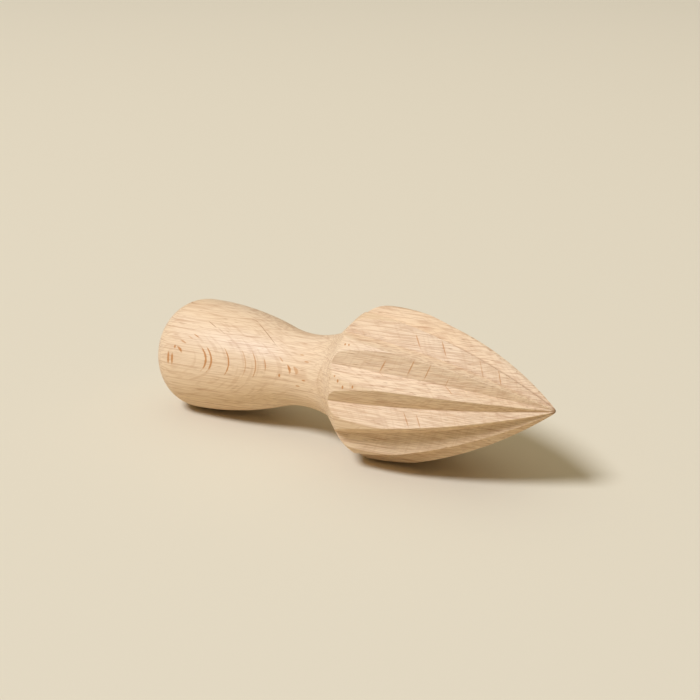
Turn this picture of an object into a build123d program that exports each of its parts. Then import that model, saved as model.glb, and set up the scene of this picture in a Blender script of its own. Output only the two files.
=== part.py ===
from build123d import *
from math import asin, atan, atan2, cos, degrees, hypot, radians, sin, sqrt, tan
import os

# A hand citrus reamer turned from one piece of beech: bulb handle, neck and fluted head.
# It lies on a table as it does when put down: +Z is up, +X runs towards the point, and the
# origin is on the table under the middle of its length. Millimetres and degrees.

# Driving sizes of the whole piece
length = 150.0  # end of the bulb to the blunt point, along the turning axis
bulb_d = 36.8  # widest ring of the bulb
neck_d = 23.6  # narrowest ring of the neck
head_d = 48.4  # widest ring of the head, over the crests

# Handle, as turned
bulb_end_round = 12.8  # rounding between the bulb's side and its end
bulb_end_bulge = 2.1  # how far the end dome stands beyond that rounding
bulb_side_r = 115.0  # long swell of the bulb towards the neck
neck_back_r = 38.5  # hollow from the bulb to the narrowest ring
neck_front_r = 38.0  # hollow from the narrowest ring to the shoulder
neck_front_length = 14.7  # narrowest ring to the start of the shoulder

# Shoulder and head, as turned
shoulder_slope = 40.0  # cone of the shoulder against the turning axis
shoulder_hollow_r = 14.0  # flare from the neck into the cone
shoulder_round_r = 7.0  # rounding from the cone onto the widest ring
head_band = 2.8  # widest ring, from the corner that the rounding takes off
nose_r = 0.8  # blunt point

# Flutes, milled into the turned head
flute_count = 12
flute_angle = 120.0  # between the two walls of a flute
flute_depth = 2.9  # below the widest ring, at its front edge
flute_bow_r = 165.0  # arc that a flute's bottom follows from shoulder to point
cutter_overrun = 5.0  # how far the cutter runs on past the point

# Stations along the turning axis from the bulb's end, and radii from that axis
bulb_r = bulb_d / 2
neck_r = neck_d / 2
head_r = head_d / 2
bulb_s = bulb_end_round + bulb_end_bulge
end_center_r = bulb_r - bulb_end_round
dome_r = bulb_end_round + bulb_end_bulge / 2 + end_center_r**2 / (2 * bulb_end_bulge)
swell_sum = bulb_side_r + neck_back_r
swell_rise = swell_sum - bulb_r + neck_r
neck_s = bulb_s + sqrt(swell_sum**2 - swell_rise**2)
shoulder_s = neck_s + neck_front_length
shoulder_r = neck_r + neck_front_r - sqrt(neck_front_r**2 - neck_front_length**2)
corner_s = shoulder_s + (head_r - shoulder_r) / tan(radians(shoulder_slope))
band_s = corner_s + head_band
nose_s = length - nose_r
ogive_r = ((nose_s - band_s) ** 2 + head_r**2 - nose_r**2) / (2 * (head_r - nose_r))

# Where the round stretches of the turned outline meet, as (station, radius)
dome_reach = dome_r / (dome_r - bulb_end_round)
dome_end = Vector(dome_r + (bulb_s - dome_r) * dome_reach, end_center_r * dome_reach)
swell_share = bulb_side_r / swell_sum
swell_end = Vector(
    bulb_s + (neck_s - bulb_s) * swell_share,
    bulb_r - bulb_side_r + swell_rise * swell_share,
)
ogive_reach = ogive_r / (ogive_r - nose_r)
ogive_end = Vector(
    band_s + (nose_s - band_s) * ogive_reach,
    (head_r - ogive_r) * (1 - ogive_reach),
)

# Arc of a flute's bottom, from the front edge of the widest ring to the blunt point
flute_from = Vector(band_s, head_r - flute_depth)
flute_to = Vector(length, nose_r / 2)
flute_chord = flute_to - flute_from
bow_inset = sqrt(flute_bow_r**2 - (flute_chord.length / 2) ** 2)
bow_center = (flute_from + flute_to) / 2 + Vector(flute_chord.Y, -flute_chord.X).normalized() * bow_inset
half_v = radians(flute_angle / 2)


def bow_angle(station):
    """Angle on the flute's arc at a station along the turning axis, from straight out of the axis."""
    return asin((station - bow_center.X) / flute_bow_r)


# Resting pose: a flute faces down, so the head lies on the edges of two crests, the bulb on its end round
rest_s = corner_s + shoulder_round_r * tan(radians(shoulder_slope / 2))
rest_bow = bow_angle(rest_s)
rest_bottom_r = bow_center.Y + flute_bow_r * cos(rest_bow)
rest_half_v = atan(tan(half_v) * cos(rest_bow))
crest_edge = rest_half_v - asin(rest_bottom_r * sin(rest_half_v) / head_r)
rest_r = head_r * cos(min(crest_edge, radians(180 / flute_count)))
rest_span = hypot(rest_s - bulb_s, rest_r - end_center_r)
tilt = atan2(rest_r - end_center_r, rest_s - bulb_s) - asin(bulb_end_round / rest_span)
axis_z = bulb_end_round + end_center_r * cos(tilt) - bulb_s * sin(tilt)

# The chuck plane lies at the bulb's end: its Z is the turning axis and its X points down into a flute
chuck = Plane(
    origin=(-length / 2 * cos(tilt), 0, axis_z),
    x_dir=(sin(tilt), 0, -cos(tilt)),
    z_dir=(cos(tilt), 0, sin(tilt)),
)
lathe = Plane(origin=chuck.origin, x_dir=chuck.z_dir, z_dir=chuck.y_dir)

# One pass of the flute cutter, drawn with the turning axis on Z and the flute towards X
cutter_start = bow_angle(neck_s)
cutter_turn = bow_angle(length + cutter_overrun) - cutter_start
cutter_pivot = Vector(bow_center.Y, 0, bow_center.X)
cutter_face = Plane(
    origin=cutter_pivot,
    x_dir=(0, 1, 0),
    z_dir=(sin(cutter_start), 0, -cos(cutter_start)),
)
cutter_half_width = head_r * tan(half_v)

with BuildPart() as flute:
    with BuildSketch(cutter_face):
        with BuildLine():
            Polyline(
                (0, flute_bow_r),
                (cutter_half_width, flute_bow_r + head_r),
                (-cutter_half_width, flute_bow_r + head_r),
                close=True,
            )
        make_face()
    revolve(axis=Axis(cutter_pivot, (0, -1, 0)), revolution_arc=degrees(cutter_turn))

# The reamer: turned outline first, then the flutes cut all round the head
with BuildPart(chuck) as reamer:
    with BuildSketch(lathe) as turned:
        with BuildLine():
            dome = TangentArc((0, 0), dome_end, tangent=(0, 1))
            end_round = TangentArc(dome @ 1, (bulb_s, bulb_r), tangent=dome % 1)
            swell = TangentArc(end_round @ 1, swell_end, tangent=end_round % 1)
            neck_back = TangentArc(swell @ 1, (neck_s, neck_r), tangent=swell % 1)
            neck_front = TangentArc(neck_back @ 1, (shoulder_s, shoulder_r), tangent=neck_back % 1)
            shoulder = Line(neck_front @ 1, (corner_s, head_r))
            band = Line(shoulder @ 1, (band_s, head_r))
            ogive = TangentArc(band @ 1, ogive_end, tangent=band % 1)
            nose = TangentArc(ogive @ 1, (length, 0), tangent=ogive % 1)
            Line(nose @ 1, dome @ 0)
        make_face()
        fillet(turned.vertices().sort_by_distance(shoulder @ 0)[0], shoulder_hollow_r)
        fillet(turned.vertices().sort_by_distance(shoulder @ 1)[0], shoulder_round_r)
    revolve(axis=Axis(chuck.origin, chuck.z_dir))
    for cut in range(flute_count):
        with PolarLocations(0, 1, start_angle=cut * 360 / flute_count):
            add(flute.part, mode=Mode.SUBTRACT)

reamer.part.label = "reamer"

os.makedirs("parts", exist_ok=True)
export_step(reamer.part, "parts/reamer.step")
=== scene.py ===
"""A hand citrus reamer turned from one piece of beech, lying on a pale table.

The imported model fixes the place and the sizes. This script gives the reamer its visible surface: the
turned outline with its twelve flutes and finely broken crests, and beech whose growth rings, fibres,
pores and rays run through the whole piece of wood.
"""

from __future__ import annotations

import logging
import math
from dataclasses import dataclass
from enum import Enum
from typing import Any

import bpy
from mathutils import Euler, Matrix, Vector

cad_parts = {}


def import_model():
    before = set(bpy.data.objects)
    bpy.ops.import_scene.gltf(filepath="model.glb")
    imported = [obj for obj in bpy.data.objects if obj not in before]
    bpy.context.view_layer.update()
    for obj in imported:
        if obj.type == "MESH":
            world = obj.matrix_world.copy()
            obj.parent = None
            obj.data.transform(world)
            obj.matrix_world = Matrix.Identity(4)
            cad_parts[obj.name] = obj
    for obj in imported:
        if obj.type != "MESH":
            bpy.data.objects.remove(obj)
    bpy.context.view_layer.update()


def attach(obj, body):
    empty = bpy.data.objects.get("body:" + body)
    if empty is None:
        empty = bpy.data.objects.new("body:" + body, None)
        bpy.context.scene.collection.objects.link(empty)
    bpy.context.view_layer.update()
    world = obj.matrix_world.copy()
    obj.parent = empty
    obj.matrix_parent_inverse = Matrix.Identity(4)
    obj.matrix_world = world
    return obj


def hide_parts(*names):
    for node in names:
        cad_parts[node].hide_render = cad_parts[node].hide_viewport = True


LOG = logging.getLogger("reamer")
MM = 0.001
MATH = "ShaderNodeMath"
MAPPING = "ShaderNodeMapping"
MAP_RANGE = "ShaderNodeMapRange"
NOISE = "ShaderNodeTexNoise"
VORONOI = "ShaderNodeTexVoronoi"
MIX = "ShaderNodeMix"
SOCKETS = {
    int: "NodeSocketInt",
    float: "NodeSocketFloat",
    Vector: "NodeSocketVector",
    bpy.types.Material: "NodeSocketMaterial",
}
Outline = list[tuple[float, float]]


def linear(colour: str) -> tuple[float, float, float, float]:
    """Turn an sRGB hex colour to linear.

    Args:
        colour: Colour as "#RRGGBB".

    Returns:
        Linear red, green and blue, with alpha 1.
    """
    parts = [int(colour[i : i + 2], 16) / 255 for i in (1, 3, 5)]
    red, green, blue = (c / 12.92 if c <= 0.04045 else ((c + 0.055) / 1.055) ** 2.4 for c in parts)
    return red, green, blue, 1.0


def add(
    tree: bpy.types.NodeTree, kind: str, inputs: dict[Any, Any] | None = None, **settings: Any
) -> bpy.types.Node:
    """Add a node with its settings and its inputs.

    Args:
        tree: Tree that gets the node.
        kind: Blender's name for the kind of node.
        inputs: Values by input name or number; a node or a socket is linked, anything else is set.
        settings: Properties of the node.

    Returns:
        The new node.
    """
    node = tree.nodes.new(kind)
    for name, value in settings.items():
        setattr(node, name, value)
    for key, value in (inputs or {}).items():
        if isinstance(value, bpy.types.Node):
            value = next(socket for socket in value.outputs if socket.enabled)
        if isinstance(value, bpy.types.NodeSocket):
            tree.links.new(value, node.inputs[key])
        else:
            node.inputs[key].default_value = value
    return node


def arc(center: tuple[float, float], radius: float, start: float, end: float, count: int) -> Outline:
    """Points on a round stretch of the outline, without its first point.

    Args:
        center: Station and radius of the arc's centre.
        radius: Radius of the arc.
        start: Angle of its first point, in radians.
        end: Angle of its last point, in radians.
        count: Number of steps.

    Returns:
        The points after the first, as station and radius.
    """
    turns = [start + (end - start) * i / count for i in range(1, count + 1)]
    return [(center[0] + radius * math.cos(t), center[1] + radius * math.sin(t)) for t in turns]


def line(start: tuple[float, float], end: tuple[float, float], count: int) -> Outline:
    """Points on a straight stretch of the outline, without its first point.

    Args:
        start: Station and radius of its first point.
        end: Station and radius of its last point.
        count: Number of steps.

    Returns:
        The points after the first, as station and radius.
    """
    shares = [i / count for i in range(1, count + 1)]
    return [(start[0] + (end[0] - start[0]) * t, start[1] + (end[1] - start[1]) * t) for t in shares]


@dataclass(frozen=True)
class Steps:
    """Number of steps on each stretch of the turned outline, from the bulb's end to the point."""

    dome: int = 10
    end_round: int = 18
    swell: int = 24
    neck_back: int = 16
    neck_front: int = 10
    hollow: int = 14
    slope: int = 20
    shoulder_round: int = 28
    band: int = 2
    ogive: int = 96
    nose: int = 8


@dataclass
class Reamer:
    """The whole reamer in millimetres and degrees: bulb handle, neck and fluted head of one blank."""

    length: float = 150.0
    bulb_d: float = 36.8
    neck_d: float = 23.6
    head_d: float = 48.4
    bulb_end_round: float = 12.8
    bulb_end_bulge: float = 2.1
    bulb_side_r: float = 115.0
    neck_back_r: float = 38.5
    neck_front_r: float = 38.0
    neck_front_length: float = 14.7
    shoulder_slope: float = 40.0
    shoulder_hollow_r: float = 14.0
    shoulder_round_r: float = 7.0
    head_band: float = 2.8
    nose_r: float = 0.8
    flute_count: int = 12
    flute_angle: float = 120.0
    flute_depth: float = 2.9
    flute_bow_r: float = 165.0
    dark_flute: int = 0  # flute with the deepest painted shade along its bottom, counted from the top
    edge_break: float = 0.15  # width of the crests' broken edge
    soft_from: float = 12.0  # nearer to the axis than this, the crests narrow with the head
    least_edge: float = 4.0  # narrowest half flute that the mesh follows where a flute runs out
    sharp_over: float = 12.0  # edges that turn more than this stay crisp
    milled_over: float = 0.05  # depth of cut over which the finish changes to the milled one
    weld: float = 0.0005  # points nearer than this become one
    wall_columns: int = 5  # of the mesh, on half a flute
    edge_columns: int = 4
    land_columns: int = 3
    steps: Steps = Steps()

    def __post_init__(self) -> None:
        """Work out the stations and radii that the driving sizes set."""
        slope = math.radians(self.shoulder_slope)
        self.bulb_r = self.bulb_d / 2
        self.neck_r = self.neck_d / 2
        self.head_r = self.head_d / 2
        self.bulb_s = self.bulb_end_round + self.bulb_end_bulge
        self.end_center_r = self.bulb_r - self.bulb_end_round
        bulge = self.bulb_end_bulge
        self.dome_r = self.bulb_end_round + bulge / 2 + self.end_center_r**2 / (2 * bulge)
        swell_sum = self.bulb_side_r + self.neck_back_r
        self.swell_rise = swell_sum - self.bulb_r + self.neck_r
        self.neck_s = self.bulb_s + math.sqrt(swell_sum**2 - self.swell_rise**2)
        self.shoulder_s = self.neck_s + self.neck_front_length
        neck_sink = math.sqrt(self.neck_front_r**2 - self.neck_front_length**2)
        self.shoulder_r = self.neck_r + self.neck_front_r - neck_sink
        self.corner_s = self.shoulder_s + (self.head_r - self.shoulder_r) / math.tan(slope)
        self.corner_cut = self.shoulder_round_r * math.tan(slope / 2)
        self.band_s = self.corner_s + self.head_band
        self.nose_s = self.length - self.nose_r
        ogive_square = (self.nose_s - self.band_s) ** 2 + self.head_r**2 - self.nose_r**2
        self.ogive_r = ogive_square / (2 * (self.head_r - self.nose_r))
        start = Vector((self.band_s, self.head_r - self.flute_depth))
        chord = Vector((self.length, self.nose_r / 2)) - start
        inset = math.sqrt(self.flute_bow_r**2 - chord.length_squared / 4)
        self.bow_center = start + chord / 2 + Vector((chord.y, -chord.x)).normalized() * inset
        self._rest()

    def _rest(self) -> None:
        """Work out how the reamer lies, on the edges of two crests and the bulb's end round."""
        rest_s = self.corner_s + self.corner_cut
        bow = math.asin((rest_s - self.bow_center.x) / self.flute_bow_r)
        bottom = self.bow_center.y + self.flute_bow_r * math.cos(bow)
        half_v = math.atan(math.tan(math.radians(self.flute_angle / 2)) * math.cos(bow))
        edge = half_v - math.asin(bottom * math.sin(half_v) / self.head_r)
        rest_r = self.head_r * math.cos(min(edge, math.pi / self.flute_count))
        across, along = rest_r - self.end_center_r, rest_s - self.bulb_s
        lean = math.asin(self.bulb_end_round / math.hypot(along, across))
        self.tilt = math.atan2(across, along) - lean
        drop = self.end_center_r * math.cos(self.tilt) - self.bulb_s * math.sin(self.tilt)
        axis_z = self.bulb_end_round + drop
        self.place = Vector((-self.length / 2 * math.cos(self.tilt), 0.0, axis_z)) * MM

    def outline(self) -> Outline:
        """Turned outline from the bulb's end to the point.

        Returns:
            Points as station along the turning axis and radius.
        """
        right = math.pi / 2
        slope = math.radians(self.shoulder_slope)
        dome_turn = math.atan2(self.end_center_r, self.bulb_s - self.dome_r)
        swell_turn = math.atan2(self.swell_rise, self.neck_s - self.bulb_s)
        ogive_turn = math.atan2(self.ogive_r - self.head_r, self.nose_s - self.band_s)
        swell_center = (self.bulb_s, self.bulb_r - self.bulb_side_r)
        back_center = (self.neck_s, self.neck_r + self.neck_back_r)
        front_center = Vector((self.neck_s, self.neck_r + self.neck_front_r))
        round_center = (self.corner_s + self.corner_cut, self.head_r - self.shoulder_round_r)

        # The hollow lies between the neck's arc and the shoulder's slope and touches both
        run = Vector((math.cos(slope), math.sin(slope)))
        rise = Vector((-run.y, run.x)) * self.shoulder_hollow_r
        foot = Vector((self.shoulder_s, self.shoulder_r))
        reach = foot + rise - front_center
        along = reach.dot(run)
        gap = self.neck_front_r - self.shoulder_hollow_r
        step = -along - math.sqrt(along**2 - reach.length_squared + gap**2)
        slope_start = foot + run * step
        slope_end = Vector((self.corner_s, self.head_r)) - run * self.corner_cut
        lean = slope_start + rise - front_center
        hollow_turn = math.atan2(lean.y, lean.x)

        end_center = (self.bulb_s, self.end_center_r)
        hollow_center = tuple(slope_start + rise)
        ogive_center = (self.band_s, self.head_r - self.ogive_r)
        band_start, band_end = (round_center[0], self.head_r), (self.band_s, self.head_r)

        steps = self.steps
        points: Outline = [(0.0, 0.0)]
        points += arc((self.dome_r, 0.0), self.dome_r, math.pi, dome_turn, steps.dome)
        points += arc(end_center, self.bulb_end_round, dome_turn, right, steps.end_round)
        points += arc(swell_center, self.bulb_side_r, right, swell_turn, steps.swell)
        points += arc(back_center, self.neck_back_r, swell_turn - math.pi, -right, steps.neck_back)
        points += arc(tuple(front_center), self.neck_front_r, -right, hollow_turn, steps.neck_front)
        points += arc(hollow_center, self.shoulder_hollow_r, hollow_turn, slope - right, steps.hollow)
        points += line(tuple(slope_start), tuple(slope_end), steps.slope)
        points += arc(round_center, self.shoulder_round_r, right + slope, right, steps.shoulder_round)
        points += line(band_start, band_end, steps.band)
        points += arc(ogive_center, self.ogive_r, right, ogive_turn, steps.ogive)
        points += arc((self.nose_s, 0.0), self.nose_r, ogive_turn, 0.0, steps.nose)
        return points

    def radius(self, station: float) -> float:
        """Turned radius at a station between the ends.

        Args:
            station: Place along the turning axis.

        Returns:
            The radius before the flutes are cut.
        """
        points = self.outline()
        (s0, r0), (s1, r1) = next(pair for pair in zip(points, points[1:]) if pair[1][0] > station)
        return r0 + (r1 - r0) * (station - s0) / (s1 - s0)

    def sizes(self, material: bpy.types.Material) -> dict[str, Any]:
        """Named inputs of the tree.

        Args:
            material: Finish of the wood.

        Returns:
            Values by input name; angles in radians.
        """
        return {
            "Flutes": self.flute_count,
            "Flutes from": self.neck_s,
            "Dark flute": self.dark_flute,
            "Flute half angle": math.radians(self.flute_angle / 2),
            "Bow radius": self.flute_bow_r,
            "Bow station": self.bow_center.x,
            "Bow height": self.bow_center.y,
            "Edge break": self.edge_break,
            "Soft from": self.soft_from,
            "Least edge": math.radians(self.least_edge),
            "Sharp over": math.radians(self.sharp_over),
            "Place": self.place,
            "Turn": Vector((0.0, -self.tilt, 0.0)),
            "Material": material,
        }

    def tree(self, sizes: dict[str, Any]) -> bpy.types.NodeTree:
        """Nodes that turn an outline about its axis and cut the flutes into it.

        Args:
            sizes: Named inputs.

        Returns:
            The tree.
        """
        half = self.wall_columns + self.edge_columns + self.land_columns
        tree = bpy.data.node_groups.new("turn_and_flute", "GeometryNodeTree")
        tree.interface.new_socket("Geometry", in_out="OUTPUT", socket_type="NodeSocketGeometry")
        tree.interface.new_socket("Outline", in_out="INPUT", socket_type="NodeSocketGeometry")
        for name, value in sizes.items():
            tree.interface.new_socket(name, in_out="INPUT", socket_type=SOCKETS[type(value)])
        given = add(tree, "NodeGroupInput").outputs

        # One row of the grid for each point of the outline, and columns that close into a ring. Adding
        # a half to the index keeps the row clear of rounding
        rows = add(tree, "GeometryNodeAttributeDomainSize", {0: given["Outline"]}).outputs["Point Count"]
        columns = add(tree, MATH, {0: given["Flutes"], 1: 2 * half, 2: 1}, operation="MULTIPLY_ADD")
        grid = {"Vertices X": rows, "Vertices Y": columns}
        grid = add(tree, "GeometryNodeMeshGrid", grid).outputs["Mesh"]
        index = add(tree, "GeometryNodeInputIndex")
        row = add(tree, MATH, {0: index, 1: 0.5}, operation="ADD")
        row = add(tree, MATH, {0: row, 1: columns}, operation="DIVIDE")
        row = add(tree, MATH, {0: row}, operation="FLOOR")
        column = add(tree, MATH, {0: index, 1: columns}, operation="FLOORED_MODULO")
        position = add(tree, "GeometryNodeInputPosition")
        here = {"Geometry": given["Outline"], "Value": position, "Index": row}
        here = add(tree, "GeometryNodeSampleIndex", here, data_type="FLOAT_VECTOR")
        here = add(tree, "ShaderNodeSeparateXYZ", {0: here})
        station, blank = here.outputs["X"], here.outputs["Z"]

        # Nearest flute bottom, the side of it, and how many columns away
        turns = add(tree, MATH, {0: column, 1: 2 * half}, operation="DIVIDE")
        nearest = add(tree, MATH, {0: turns}, operation="ROUND")
        off = add(tree, MATH, {0: turns, 1: nearest}, operation="SUBTRACT")
        side = add(tree, MATH, {0: off}, operation="SIGN")
        steps = add(tree, MATH, {0: off}, operation="ABSOLUTE")
        steps = add(tree, MATH, {0: steps, 1: 2 * half}, operation="MULTIPLY")
        pitch = add(tree, MATH, {0: math.tau, 1: given["Flutes"]}, operation="DIVIDE")
        crest = add(tree, MATH, {0: pitch, 1: 0.5}, operation="MULTIPLY")

        # A flute's bottom follows an arc, its V opens wider where the arc leans, and it spares the handle
        lean = add(tree, MATH, {0: station, 1: given["Bow station"]}, operation="SUBTRACT")
        lean = add(tree, MATH, {0: lean, 1: given["Bow radius"]}, operation="DIVIDE")
        lean = add(tree, MATH, {0: lean}, operation="ARCSINE")
        level = add(tree, MATH, {0: lean}, operation="COSINE")
        bottom = {0: level, 1: given["Bow radius"], 2: given["Bow height"]}
        bottom = add(tree, MATH, bottom, operation="MULTIPLY_ADD")
        handle = add(tree, MATH, {0: station, 1: given["Flutes from"]}, operation="LESS_THAN")
        bottom = add(tree, MATH, {0: handle, 1: self.length, 2: bottom}, operation="MULTIPLY_ADD")
        half_v = add(tree, MATH, {0: given["Flute half angle"]}, operation="TANGENT")
        half_v = add(tree, MATH, {0: half_v, 1: level}, operation="MULTIPLY")
        half_v = add(tree, MATH, {0: half_v}, operation="ARCTANGENT")
        reach = add(tree, MATH, {0: half_v}, operation="SINE")
        reach = add(tree, MATH, {0: reach, 1: bottom}, operation="MULTIPLY")

        # Where the wall meets the turned surface, or the next wall in a crest, and the broken width there
        edge = add(tree, MATH, {0: reach, 1: blank}, operation="DIVIDE")
        edge = add(tree, MATH, {0: edge, 1: 1.0}, operation="MINIMUM")
        edge = add(tree, MATH, {0: edge}, operation="ARCSINE")
        edge = add(tree, MATH, {0: half_v, 1: edge}, operation="SUBTRACT")
        edge = add(tree, MATH, {0: edge, 1: given["Least edge"]}, operation="MAXIMUM")
        edge = add(tree, MATH, {0: edge, 1: crest}, operation="MINIMUM")
        soft = add(tree, MATH, {0: blank, 1: given["Soft from"]}, operation="MAXIMUM")
        soft = add(tree, MATH, {0: given["Edge break"], 1: soft}, operation="DIVIDE")
        soft_half = add(tree, MATH, {0: soft, 1: 0.5}, operation="MULTIPLY")
        wall_end = add(tree, MATH, {0: edge, 1: soft_half}, operation="SUBTRACT")
        rest = add(tree, MATH, {0: crest, 1: wall_end}, operation="SUBTRACT")
        most = self.edge_columns / (self.edge_columns + self.land_columns)
        zone = add(tree, MATH, {0: rest, 1: most}, operation="MULTIPLY")
        zone = add(tree, MATH, {0: zone, 1: soft}, operation="MINIMUM")
        land = add(tree, MATH, {0: rest, 1: zone}, operation="SUBTRACT")

        # Columns gather on the wall, the broken edge and the land
        to_edge, to_land = self.wall_columns, self.wall_columns + self.edge_columns
        delta = add(tree, MAP_RANGE, {0: steps, 1: 0.0, 2: to_edge, 4: wall_end})
        more = add(tree, MAP_RANGE, {0: steps, 1: to_edge, 2: to_land, 4: zone})
        delta = add(tree, MATH, {0: delta, 1: more}, operation="ADD")
        more = add(tree, MAP_RANGE, {0: steps, 1: to_land, 2: half, 4: land})
        delta = add(tree, MATH, {0: delta, 1: more}, operation="ADD")

        # Radius: the turned surface or a flute's wall, whichever is lower, and a broken edge between them
        wall = add(tree, MATH, {0: half_v, 1: delta}, operation="SUBTRACT")
        wall = add(tree, MATH, {0: wall}, operation="SINE")
        wall = add(tree, MATH, {0: reach, 1: wall}, operation="DIVIDE")
        next_wall = add(tree, MATH, {0: half_v, 1: pitch}, operation="SUBTRACT")
        next_wall = add(tree, MATH, {0: next_wall, 1: delta}, operation="ADD")
        next_wall = add(tree, MATH, {0: next_wall}, operation="SINE")
        next_wall = add(tree, MATH, {0: reach, 1: next_wall}, operation="DIVIDE")
        round_off = add(tree, MATH, {0: soft, 1: blank}, operation="MULTIPLY")
        cut = add(tree, MATH, {0: wall, 1: next_wall, 2: round_off}, operation="SMOOTH_MIN")
        radius = add(tree, MATH, {0: cut, 1: blank, 2: round_off}, operation="SMOOTH_MIN")
        angle = add(tree, MATH, {0: nearest, 1: pitch}, operation="MULTIPLY")
        angle = add(tree, MATH, {0: side, 1: delta, 2: angle}, operation="MULTIPLY_ADD")
        up = add(tree, MATH, {0: angle}, operation="COSINE")
        up = add(tree, MATH, {0: up, 1: radius}, operation="MULTIPLY")
        back = add(tree, MATH, {0: angle}, operation="SINE")
        back = add(tree, MATH, {0: back, 1: radius}, operation="MULTIPLY")
        back = add(tree, MATH, {0: back, 1: -1.0}, operation="MULTIPLY")
        spot = add(tree, "ShaderNodeCombineXYZ", {0: station, 1: back, 2: up})
        shape = add(tree, "GeometryNodeSetPosition", {"Geometry": grid, "Position": spot})

        # Where the cutter has been, how far from its tip, and which flute has the deepest painted shade,
        # for the finish
        deep = add(tree, MATH, {0: blank, 1: cut}, operation="SUBTRACT")
        deep = add(tree, MAP_RANGE, {0: deep, 1: -self.milled_over, 2: self.milled_over})
        named = {"Geometry": shape, "Name": "milled", "Value": deep}
        shape = add(tree, "GeometryNodeStoreNamedAttribute", named)
        flank = add(tree, MATH, {0: side, 1: delta}, operation="MULTIPLY")
        flank = add(tree, MATH, {0: flank, 1: radius}, operation="MULTIPLY")
        named = {"Geometry": shape, "Name": "flank", "Value": flank}
        shape = add(tree, "GeometryNodeStoreNamedAttribute", named)
        flute = add(tree, MATH, {0: nearest, 1: given["Flutes"]}, operation="FLOORED_MODULO")
        dark = add(tree, MATH, {0: flute, 1: given["Dark flute"], 2: 0.5}, operation="COMPARE")
        named = {"Geometry": shape, "Name": "dark_flute", "Value": dark}
        shape = add(tree, "GeometryNodeStoreNamedAttribute", named)

        # Close the ring and the ends, and keep the flute bottoms and the crests crisp
        shape = add(tree, "GeometryNodeFlipFaces", {0: shape})
        shape = add(tree, "GeometryNodeMergeByDistance", {"Geometry": shape, "Distance": self.weld})
        smooth = {"Geometry": shape, "Shade Smooth": True}
        shape = add(tree, "GeometryNodeSetShadeSmooth", smooth, domain="FACE")
        bend = add(tree, "GeometryNodeInputMeshEdgeAngle").outputs["Unsigned Angle"]
        crisp = {0: bend, 1: given["Sharp over"]}
        crisp = add(tree, "FunctionNodeCompare", crisp, operation="GREATER_THAN")
        sharp = {"Geometry": shape, "Selection": crisp, "Shade Smooth": False}
        shape = add(tree, "GeometryNodeSetShadeSmooth", sharp, domain="EDGE")
        laid = {"Translation": given["Place"], "Rotation": given["Turn"], "Scale": (MM, MM, MM)}
        shape = add(tree, "GeometryNodeTransform", {"Geometry": shape} | laid)
        shape = add(tree, "GeometryNodeRealizeInstances", {"Geometry": shape})
        shape = add(tree, "GeometryNodeSetMaterial", {"Geometry": shape, "Material": given["Material"]})
        add(tree, "NodeGroupOutput", {"Geometry": shape})
        return tree

    def build(self, material: bpy.types.Material) -> bpy.types.Object:
        """Make the reamer's mesh and dress it.

        Args:
            material: Finish of the wood.

        Returns:
            The piece, in place at rest.
        """
        mesh = bpy.data.meshes.new("outline")
        points = [(station, 0.0, radius) for station, radius in self.outline()]
        mesh.from_pydata(points, [(i, i + 1) for i in range(len(points) - 1)], [])
        piece = bpy.data.objects.new("turned_reamer", mesh)
        bpy.context.scene.collection.objects.link(piece)
        modifier = piece.modifiers.new("turn_and_flute", "NODES")
        sizes = self.sizes(material)
        modifier.node_group = self.tree(sizes)
        for socket in modifier.node_group.interface.items_tree:
            if socket.name in sizes:
                modifier[socket.identifier] = sizes[socket.name]
        graph = bpy.context.evaluated_depsgraph_get()
        made = bpy.data.meshes.new_from_object(piece.evaluated_get(graph), depsgraph=graph)
        made.name = "turned_reamer"
        piece.modifiers.remove(modifier)
        piece.data = made
        bpy.data.meshes.remove(mesh)
        return piece

    def attach(self, piece: bpy.types.Object) -> None:
        """Put the piece on the frame, in place of the solid.

        Args:
            piece: The finished reamer.
        """
        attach(piece, "root")
        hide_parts("reamer")


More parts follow.
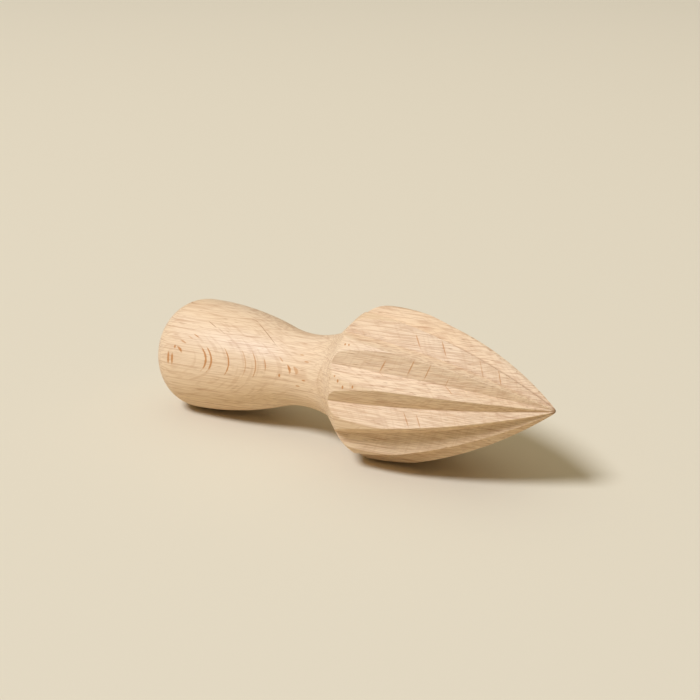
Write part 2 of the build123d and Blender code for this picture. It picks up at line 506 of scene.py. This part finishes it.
@dataclass(frozen=True)
class Grain:
    """How the wood's own directions lie in the blank.

    The grain runs along the turning axis. The rays are thin upright plates along it that face the front,
    and they bend gently to the front on their way to the point. The growth rings lie nearly level.
    """

    ray_turn: float = -13.6  # degrees by which the plates lean back from upright
    lean: float = 0.017  # slope of the plates to the front, at the bulb's end
    sweep: float = 0.00102  # growth of their mean slope from there, per millimetre

    def turn(self) -> Matrix:
        """Turn of the wood's directions about the axis."""
        return Matrix.Rotation(math.radians(self.ray_turn), 3, "X")

    def spot(self, point: Vector) -> Vector:
        """Place in the wood of a point in the reamer's own axes.

        Args:
            point: Station, distance to the back and height above the axis.

        Returns:
            Place along the grain, across the rays and across the rings.
        """
        spot = self.turn().transposed() @ point
        spot.y += spot.x * (self.lean + self.sweep * spot.x)
        return spot

    def straight(self, tree: bpy.types.NodeTree, place: Vector, tilt: float) -> bpy.types.Node:
        """Nodes that find a place along the straight grain.

        Args:
            tree: The material's nodes.
            place: Bulb's end on the turning axis, in metres.
            tilt: Rise of the turning axis, in radians.

        Returns:
            Node that gives the place in the wood, in millimetres.
        """
        spot = add(tree, "ShaderNodeTexCoord").outputs["Object"]
        turn = (Matrix.Rotation(-tilt, 3, "Y") @ self.turn()).to_euler()
        axes = {"Vector": spot, "Location": place, "Rotation": turn, "Scale": (MM, MM, MM)}
        return add(tree, MAPPING, axes, vector_type="TEXTURE")

    def swept(self, tree: bpy.types.NodeTree, straight: bpy.types.Node) -> bpy.types.Node:
        """Nodes that find a place along the bent rays.

        Args:
            tree: The material's nodes.
            straight: Place along the straight grain.

        Returns:
            Node that gives the place in the wood, in millimetres.
        """
        flat = add(tree, "ShaderNodeSeparateXYZ", {0: straight}).outputs
        slope = add(tree, MATH, {0: flat["X"], 1: self.sweep, 2: self.lean}, operation="MULTIPLY_ADD")
        across = add(tree, MATH, {0: flat["X"], 1: slope, 2: flat["Y"]}, operation="MULTIPLY_ADD")
        return add(tree, "ShaderNodeCombineXYZ", {0: flat["X"], 1: across, 2: flat["Z"]})


class Mark(Enum):
    """Kinds of single mark, with half sizes in mm along the grain, through the mark and along the ray."""

    ARC = (4.0, 0.11, 6.8)
    BAR = (0.60, 0.50, 2.7)
    DASH = (1.6, 0.10, 2.4)
    STREAK = (1.3, 0.60, 0.28)
    DOT = (0.45, 0.30, 0.7)
    PLATE = (2.2, 0.13, 4.2)
    HAIRLINE = (9.5, 0.18, 5.0)
    SHORT_HAIR = (2.8, 0.18, 3.0)


HAIRS = (Mark.HAIRLINE, Mark.SHORT_HAIR)


@dataclass(frozen=True)
class GrainMark:
    """One mark that catches the eye, a thin plate in the wood that shows where the surface cuts it."""

    kind: Mark
    station: float
    turn: float  # degrees from the top to the front
    depth: float = 0.0  # of the surface below the turned outline
    strength: float = 1.0
    skew: float = 0.0  # degrees by which a hairline runs from the axis to the front

    def place(self, grain: Grain, reamer: Reamer) -> tuple[Vector, Euler]:
        """Place and turn of the mark in the wood.

        Args:
            grain: The wood's directions.
            reamer: The shape that the mark lies on.

        Returns:
            Middle of the mark in millimetres, and its turn.
        """
        turn, skew = math.radians(self.turn), math.radians(self.skew)
        out = Vector((0.0, -math.sin(turn), math.cos(turn)))
        middle = out * (reamer.radius(self.station) - self.depth) + Vector((self.station, 0.0, 0.0))
        if self.kind not in HAIRS:
            return grain.spot(middle), Euler()
        around = Vector((0.0, -math.cos(turn), -math.sin(turn)))
        run = Vector((math.cos(skew), 0.0, 0.0)) + around * math.sin(skew)
        run = (grain.spot(middle + run) - grain.spot(middle - run)).normalized()
        out = (grain.spot(middle + out) - grain.spot(middle - out)).normalized()
        thin = run.cross(out).normalized()
        return grain.spot(middle), Matrix((run, thin, run.cross(thin))).transposed().to_euler()


@dataclass(frozen=True)
class Tint:
    """Colour of one layer of the wood's figure, and how much of it shows."""

    colour: str
    sanded: float
    milled: float


@dataclass(frozen=True)
class Beech:
    """Raw beech, sanded on the turned parts and left from the cutter in the flutes.

    Pale pinkish tan with quiet growth rings, and fine streaks and short pores along the grain. Rays show
    as brown dashes where the surface cuts them, and as orange flecks where it meets them nearly flat.
    """

    base: str = "#E6C69A"
    pale: str = "#EBCFA8"
    rings: Tint = Tint("#A86F45", 0.46, 0.50)
    fibres: Tint = Tint("#A36C42", 0.24, 0.34)
    pores: Tint = Tint("#9A643B", 0.32, 0.45)
    rays: Tint = Tint("#B27D50", 0.19, 0.12)
    flecks: Tint = Tint("#BC772F", 0.82, 0.62)
    hairs: Tint = Tint("#9A6438", 0.65, 0.60)
    # painted shade along the flute bottoms
    painted_root_shade: Tint = Tint("#8A5B37", 0.0, 0.55)
    end_tone: str = "#8E6136"
    end_share: float = 0.8  # of that tone at the very point
    end_mm: float = 1.2  # length of the rubbed point
    ring_mm: float = 2.45  # a growth ring's width
    ring_at: float = 12.0  # one ring's height above the turning axis
    ring_wander: float = 1.4  # millimetres between the highest and the lowest that a ring wanders
    late_wood: tuple[float, float, float] = (0.82, 0.93, 0.95)  # shares of a ring: starts, is full, fades

    # Sizes of the patterns in millimetres along the grain, through the rays and through the rings. Fibres
    # and pores are wider than real ones, which are too fine to show
    drift_mm: tuple[float, float, float] = (70.0, 16.0, 16.0)
    wander_mm: tuple[float, float, float] = (40.0, 12.0, 12.0)
    clear_mm: tuple[float, float, float] = (18.0, 5.0, 3.0)
    fibre_mm: tuple[float, float, float] = (22.0, 1.4, 0.20)
    pore_mm: tuple[float, float, float] = (8.0, 1.6, 0.9)
    ray_mm: tuple[float, float, float] = (6.0, 0.50, 9.0)

    # Values between which each pattern goes from none to full
    drift_span: tuple[float, float] = (0.35, 0.65)
    clear_span: tuple[float, float] = (0.45, 0.65)
    fibre_span: tuple[float, float] = (0.46, 0.60)
    pore_span: tuple[float, float] = (0.20, 0.08)
    ray_span: tuple[float, float] = (0.54, 0.66)
    mark_span: tuple[float, float] = (1.25, 0.9)

    ragged_mm: float = 1.25  # length of the teeth on a mark's edge
    ragged_by: float = 0.7  # and their depth, as a share of the mark's half size
    root_mm: float = 0.6  # width of the painted shade beside a flute's bottom
    root_fade_mm: float = 0.12  # and how soon it ends past the bottom
    root_rest: float = 0.22  # share of it that the flutes other than the darkest have
    sanded_roughness: float = 0.46
    milled_roughness: float = 0.55
    fibre_roughness: float = 0.08  # more of it in a fibre
    sanded_gloss: float = 0.35
    milled_gloss: float = 0.4
    relief_mm: float = 0.03  # depth of open grain in the flutes
    sanded_relief: float = 0.25  # share of it that sanding leaves

    def build(self, reamer: Reamer, grain: Grain, marks: list[GrainMark]) -> bpy.types.Material:
        """Make the material.

        Args:
            reamer: The shape that it dresses.
            grain: The wood's directions.
            marks: Single marks that show in the wood.

        Returns:
            The material.
        """
        material = bpy.data.materials.new("beech_turned_and_milled")
        material.use_nodes = True
        tree = material.node_tree
        tree.nodes.clear()
        wood = grain.straight(tree, reamer.place, reamer.tilt)
        swept = grain.swept(tree, wood)
        milled = add(tree, "ShaderNodeAttribute", attribute_name="milled").outputs["Fac"]
        hairlines = [mark for mark in marks if mark.kind in HAIRS]
        rays = [mark for mark in marks if mark.kind not in HAIRS]
        fibres = self._fibres(tree, wood)
        pores = self._pores(tree, wood)
        layers = (
            (self._rings(tree, wood), self.rings),
            (fibres, self.fibres),
            (pores, self.pores),
            (self._rays(tree, swept), self.rays),
            (self._marks(tree, swept, rays, grain, reamer), self.flecks),
            (self._marks(tree, swept, hairlines, grain, reamer), self.hairs),
            (self._painted_root_shade(tree), self.painted_root_shade),
        )

        low, high = self.drift_span
        drift = add(tree, MAPPING, {"Vector": wood, "Scale": tuple(1 / size for size in self.drift_mm)})
        drift = add(tree, NOISE, {"Vector": drift, "Scale": 1.0, "Detail": 2.0})
        drift = add(tree, MAP_RANGE, {0: drift, 1: low, 2: high})
        colour = add(tree, MIX, {0: drift, 6: linear(self.base), 7: linear(self.pale)}, data_type="RGBA")
        for amount, tint in layers:
            share = add(tree, MAP_RANGE, {0: milled, 3: tint.sanded, 4: tint.milled})
            share = add(tree, MATH, {0: amount, 1: share}, operation="MULTIPLY")
            colour = add(tree, MIX, {0: share, 6: colour, 7: linear(tint.colour)}, data_type="RGBA")
        station = add(tree, "ShaderNodeSeparateXYZ", {0: wood}).outputs["X"]
        point = {0: station, 1: reamer.length - self.end_mm, 2: reamer.length, 4: self.end_share}
        point = add(tree, MAP_RANGE, point)
        colour = add(tree, MIX, {0: point, 6: colour, 7: linear(self.end_tone)}, data_type="RGBA")

        rough = add(tree, MAP_RANGE, {0: milled, 3: self.sanded_roughness, 4: self.milled_roughness})
        rough = add(tree, MATH, {0: fibres, 1: self.fibre_roughness, 2: rough}, operation="MULTIPLY_ADD")
        dents = add(tree, MATH, {0: fibres, 1: pores}, operation="ADD")
        relief = add(tree, MAP_RANGE, {0: milled, 3: -self.sanded_relief, 4: -1.0})
        height = add(tree, MATH, {0: dents, 1: relief}, operation="MULTIPLY")
        bump = add(tree, "ShaderNodeBump", {"Distance": self.relief_mm * MM, "Height": height})
        gloss = add(tree, MAP_RANGE, {0: milled, 3: self.sanded_gloss, 4: self.milled_gloss})
        finish = {"Base Color": colour, "Roughness": rough, "Normal": bump, "Specular IOR Level": gloss}
        shader = add(tree, "ShaderNodeBsdfPrincipled", finish)
        add(tree, "ShaderNodeOutputMaterial", {"Surface": shader})
        return material

    def _rings(self, tree: bpy.types.NodeTree, wood: bpy.types.Node) -> bpy.types.Node:
        """Growth rings, level sheets so far from the pith that they look flat.

        Args:
            tree: The material's nodes.
            wood: Place in the wood, in millimetres.

        Returns:
            Node that gives 0 in early wood and 1 in the thin line of late wood, where it is clear to see.
        """
        height = add(tree, "ShaderNodeSeparateXYZ", {0: wood}).outputs["Z"]
        wander = add(tree, MAPPING, {"Vector": wood, "Scale": tuple(1 / size for size in self.wander_mm)})
        wander = add(tree, NOISE, {"Vector": wander, "Scale": 1.0, "Detail": 2.0})
        away = add(tree, MATH, {0: wander, 1: self.ring_wander, 2: height}, operation="MULTIPLY_ADD")
        away = add(tree, MATH, {0: away, 1: self.ring_wander / 2 + self.ring_at}, operation="SUBTRACT")
        share = add(tree, MATH, {0: away, 1: self.ring_mm}, operation="DIVIDE")
        share = add(tree, MATH, {0: share}, operation="FRACT")
        starts, full, fades = self.late_wood
        rise = add(tree, MAP_RANGE, {0: share, 1: starts, 2: full})
        fall = add(tree, MAP_RANGE, {0: share, 1: 1.0, 2: fades})
        late = add(tree, MATH, {0: rise, 1: fall}, operation="MULTIPLY")
        low, high = self.clear_span
        clear = add(tree, MAPPING, {"Vector": wood, "Scale": tuple(1 / size for size in self.clear_mm)})
        clear = add(tree, NOISE, {"Vector": clear, "Scale": 1.0, "Detail": 1.0})
        clear = add(tree, MAP_RANGE, {0: clear, 1: low, 2: high})
        return add(tree, MATH, {0: late, 1: clear}, operation="MULTIPLY")

    def _fibres(self, tree: bpy.types.NodeTree, wood: bpy.types.Node) -> bpy.types.Node:
        """Thin layers of fibres, which the surface cuts into fine streaks.

        Args:
            tree: The material's nodes.
            wood: Place in the wood, in millimetres.

        Returns:
            Node that gives 0 to 1.
        """
        low, high = self.fibre_span
        streaks = add(tree, MAPPING, {"Vector": wood, "Scale": tuple(1 / size for size in self.fibre_mm)})
        streaks = add(tree, NOISE, {"Vector": streaks, "Scale": 1.0, "Detail": 0.0})
        return add(tree, MAP_RANGE, {0: streaks, 1: low, 2: high})

    def _pores(self, tree: bpy.types.NodeTree, wood: bpy.types.Node) -> bpy.types.Node:
        """Short open vessels along the grain.

        Args:
            tree: The material's nodes.
            wood: Place in the wood, in millimetres.

        Returns:
            Node that gives 1 in a pore and 0 between pores.
        """
        far, near = self.pore_span
        vessels = add(tree, MAPPING, {"Vector": wood, "Scale": tuple(1 / size for size in self.pore_mm)})
        vessels = add(tree, VORONOI, {"Vector": vessels, "Scale": 1.0}).outputs["Distance"]
        return add(tree, MAP_RANGE, {0: vessels, 1: far, 2: near})

    def _rays(self, tree: bpy.types.NodeTree, wood: bpy.types.Node) -> bpy.types.Node:
        """Rays as thin upright plates, scattered through the wood.

        Args:
            tree: The material's nodes.
            wood: Place in the wood, in millimetres.

        Returns:
            Node that gives 1 in a ray and 0 between rays.
        """
        low, high = self.ray_span
        plates = add(tree, MAPPING, {"Vector": wood, "Scale": tuple(1 / size for size in self.ray_mm)})
        plates = add(tree, NOISE, {"Vector": plates, "Scale": 1.0, "Detail": 1.0, "Roughness": 0.4})
        return add(tree, MAP_RANGE, {0: plates, 1: low, 2: high})

    def _painted_root_shade(self, tree: bpy.types.NodeTree) -> bpy.types.Node:
        """Painted shade along one side of each flute's bottom, deepest in one of them.

        Args:
            tree: The material's nodes.

        Returns:
            Node that gives up to 1 beside a flute's bottom and 0 elsewhere.
        """
        flank = add(tree, "ShaderNodeAttribute", attribute_name="flank").outputs["Fac"]
        # painted shade: darker on one side of each flute's bottom, fading just past it
        near = add(tree, MAP_RANGE, {0: flank, 1: -self.root_mm, 2: 0.0})
        far = add(tree, MAP_RANGE, {0: flank, 1: self.root_fade_mm, 2: 0.0})
        painted_shade = add(tree, MATH, {0: near, 1: far}, operation="MULTIPLY")
        dark = add(tree, "ShaderNodeAttribute", attribute_name="dark_flute").outputs["Fac"]
        share = add(tree, MAP_RANGE, {0: dark, 3: self.root_rest, 4: 1.0})
        return add(tree, MATH, {0: painted_shade, 1: share}, operation="MULTIPLY")

    def _marks(
        self,
        tree: bpy.types.NodeTree,
        wood: bpy.types.Node,
        marks: list[GrainMark],
        grain: Grain,
        reamer: Reamer,
    ) -> bpy.types.Node:
        """Single marks, each with a ragged edge.

        Args:
            tree: The material's nodes.
            wood: Place in the wood, in millimetres.
            marks: The marks to draw.
            grain: The wood's directions.
            reamer: The shape that they lie on.

        Returns:
            Node that gives 1 in a mark and 0 outside.
        """
        outside, inside = self.mark_span
        ragged = add(tree, NOISE, {"Vector": wood, "Scale": 1 / self.ragged_mm, "Detail": 2.0})
        total = None
        for mark in marks:
            middle, turn = mark.place(grain, reamer)
            plate = {"Vector": wood, "Location": middle, "Rotation": turn, "Scale": mark.kind.value}
            plate = add(tree, MAPPING, plate, vector_type="TEXTURE")
            reach = add(tree, "ShaderNodeVectorMath", {0: plate}, operation="LENGTH").outputs["Value"]
            reach = add(tree, MATH, {0: ragged, 1: self.ragged_by, 2: reach}, operation="MULTIPLY_ADD")
            shown = add(tree, MAP_RANGE, {0: reach, 1: outside, 2: inside, 4: mark.strength})
            total = add(tree, MATH, {0: total, 1: shown}, operation="MAXIMUM") if total else shown
        return total


@dataclass(frozen=True)
class Lamp:
    """A round soft light that faces the reamer."""

    name: str
    toward: tuple[float, float, float]  # direction from the reamer to the lamp
    distance: float  # in metres
    size: float  # in metres
    colour: str
    share: float  # of the light on the table

    def build(self) -> None:
        """Make the lamp, strong enough for its share of the light on the table."""
        direction = Vector(self.toward).normalized()
        lamp = bpy.data.lights.new(self.name, "AREA")
        lamp.shape = "DISK"
        lamp.size = self.size
        lamp.color = linear(self.colour)[:3]
        # With this power, a white table under the lamp alone is as bright as the lamp's share of white
        spread = self.distance**2 + self.size**2 / 4
        lamp.energy = self.share * math.pi**2 * spread / direction.z / lamp.color.g
        holder = bpy.data.objects.new(self.name, lamp)
        holder.location = direction * self.distance
        holder.rotation_euler = direction.to_track_quat("Z", "Y").to_euler()
        bpy.context.scene.collection.objects.link(holder)


@dataclass(frozen=True)
class Studio:
    """Plain pale table, a key light from the front left, a wide lamp above, even fill and the camera."""

    floor_colour: str = "#DED3B7"
    floor_m: float = 6.0
    floor_roughness: float = 0.9
    floor_gloss: float = 0.2
    key: Lamp = Lamp("key", (-0.16, -0.605, 0.78), 10.0, 3.0, "#E3EAFF", 0.69)
    overhead: Lamp = Lamp("overhead", (-0.2, 0.2, 0.96), 1.3, 2.4, "#FFF3DB", 0.20)
    fill_colour: str = "#FFF3DB"
    fill_share: float = 0.18
    camera_mm: tuple[float, float, float] = (302.13, -408.19, 208.72)
    camera_look: tuple[float, float, float] = (-0.56174, 0.75914, -0.32887)
    focal_px: float = 1700.0
    frame_px: float = 700.0
    sensor_mm: float = 36.0
    nearest_m: float = 0.01  # that the camera sees

    def build_floor(self) -> None:
        """Make the table, a plain matt sheet."""
        half = self.floor_m / 2
        corners = [(-half, -half, 0.0), (half, -half, 0.0), (half, half, 0.0), (-half, half, 0.0)]
        mesh = bpy.data.meshes.new("floor")
        mesh.from_pydata(corners, [], [(0, 1, 2, 3)])
        material = bpy.data.materials.new("matt_paper")
        material.use_nodes = True
        shader = material.node_tree.nodes["Principled BSDF"]
        shader.inputs["Base Color"].default_value = linear(self.floor_colour)
        shader.inputs["Roughness"].default_value = self.floor_roughness
        shader.inputs["Specular IOR Level"].default_value = self.floor_gloss
        mesh.materials.append(material)
        floor = bpy.data.objects.new("floor", mesh)
        bpy.context.scene.collection.objects.link(floor)

    def build_fill(self) -> None:
        """Make the even light from all around."""
        world = bpy.data.worlds.new("fill")
        world.use_nodes = True
        background = world.node_tree.nodes["Background"]
        background.inputs["Color"].default_value = linear(self.fill_colour)
        background.inputs["Strength"].default_value = self.fill_share
        bpy.context.scene.world = world

    def build_camera(self) -> None:
        """Make the camera at the picture's viewing angle."""
        lens = bpy.data.cameras.new("camera")
        lens.sensor_width = self.sensor_mm
        lens.lens = self.focal_px / self.frame_px * self.sensor_mm
        lens.clip_start = self.nearest_m
        camera = bpy.data.objects.new("camera", lens)
        camera.location = Vector(self.camera_mm) * MM
        camera.rotation_euler = Vector(self.camera_look).to_track_quat("-Z", "Y").to_euler()
        bpy.context.scene.collection.objects.link(camera)
        bpy.context.scene.camera = camera

    def build(self) -> None:
        """Make the table, the lights and the camera."""
        self.build_floor()
        self.key.build()
        self.overhead.build()
        self.build_fill()
        self.build_camera()
        bpy.context.scene.view_settings.view_transform = "Standard"


def grain_marks() -> list[GrainMark]:
    """Marks that catch the eye on the front of the reamer.

    Returns:
        Ray flecks on the bulb, the neck, the shoulder and the head, and hairlines on the bulb.
    """
    bulb = [
        GrainMark(Mark.BAR, 13.7, 80.0),
        GrainMark(Mark.BAR, 15.5, 80.0),
        GrainMark(Mark.DOT, 16.2, 67.0),
        GrainMark(Mark.DASH, 18.4, 68.5),
        GrainMark(Mark.DASH, 19.3, 60.5, strength=0.7),
        GrainMark(Mark.DASH, 21.8, 55.0, strength=0.5),
        GrainMark(Mark.DASH, 23.7, 52.0),
        GrainMark(Mark.ARC, 29.3, 73.0),
        GrainMark(Mark.ARC, 31.4, 73.0),
        GrainMark(Mark.ARC, 37.9, 73.0),
        GrainMark(Mark.ARC, 43.7, 70.0, strength=0.5),
        GrainMark(Mark.ARC, 47.3, 72.0, strength=0.8),
        GrainMark(Mark.DASH, 50.5, 70.0, strength=0.8),
        GrainMark(Mark.SHORT_HAIR, 15.8, 41.0, strength=0.7),
        GrainMark(Mark.SHORT_HAIR, 27.6, 35.5, skew=23.0),
        GrainMark(Mark.SHORT_HAIR, 32.2, 41.0, strength=0.5, skew=25.0),
        GrainMark(Mark.HAIRLINE, 46.9, 25.0, skew=30.0),
    ]
    neck = [
        GrainMark(Mark.DOT, 55.8, 84.0),
        GrainMark(Mark.DASH, 55.8, 59.0, strength=0.6),
        GrainMark(Mark.DASH, 59.4, 70.0),
        GrainMark(Mark.DASH, 62.4, 71.0, strength=0.6),
        GrainMark(Mark.STREAK, 63.1, 96.0, strength=0.8),
        GrainMark(Mark.STREAK, 63.2, 47.0, strength=0.6),
        GrainMark(Mark.STREAK, 66.0, 85.0),
        GrainMark(Mark.STREAK, 66.3, 57.0, strength=0.8),
    ]
    shoulder = [
        GrainMark(Mark.DOT, 86.6, 69.0),
        GrainMark(Mark.DOT, 88.1, 72.5),
        GrainMark(Mark.DOT, 90.1, 76.5),
        GrainMark(Mark.DOT, 93.7, 75.0),
        GrainMark(Mark.DOT, 87.2, 45.0),
        GrainMark(Mark.DOT, 88.6, 45.0),
    ]
    head = [
        GrainMark(Mark.PLATE, 100.7, 55.0, 2.9),
        GrainMark(Mark.PLATE, 107.5, 22.0, 2.6),
        GrainMark(Mark.PLATE, 109.8, 51.5, 2.5),
        GrainMark(Mark.PLATE, 109.8, 99.0, 2.5),
        GrainMark(Mark.PLATE, 113.7, 100.0, 2.3),
        GrainMark(Mark.PLATE, 114.7, 52.0, 2.9),
        GrainMark(Mark.PLATE, 115.9, 20.0, 2.4),
        GrainMark(Mark.PLATE, 121.5, 62.0, 3.6),
        GrainMark(Mark.PLATE, 128.0, 23.0, 3.1, strength=0.7),
        GrainMark(Mark.PLATE, 133.6, 22.0, 2.5),
    ]
    return bulb + neck + shoulder + head


def main() -> None:
    """Load the frame, build the reamer and its studio, and log the piece's point and face counts."""
    logging.basicConfig(level=logging.INFO, format="%(name)s: %(message)s")
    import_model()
    Studio().build()
    reamer = Reamer()
    material = Beech().build(reamer, Grain(), grain_marks())
    piece = reamer.build(material)
    reamer.attach(piece)
    LOG.info("%s: %d points, %d faces", piece.name, len(piece.data.vertices), len(piece.data.polygons))


if __name__ == "__main__":
    main()
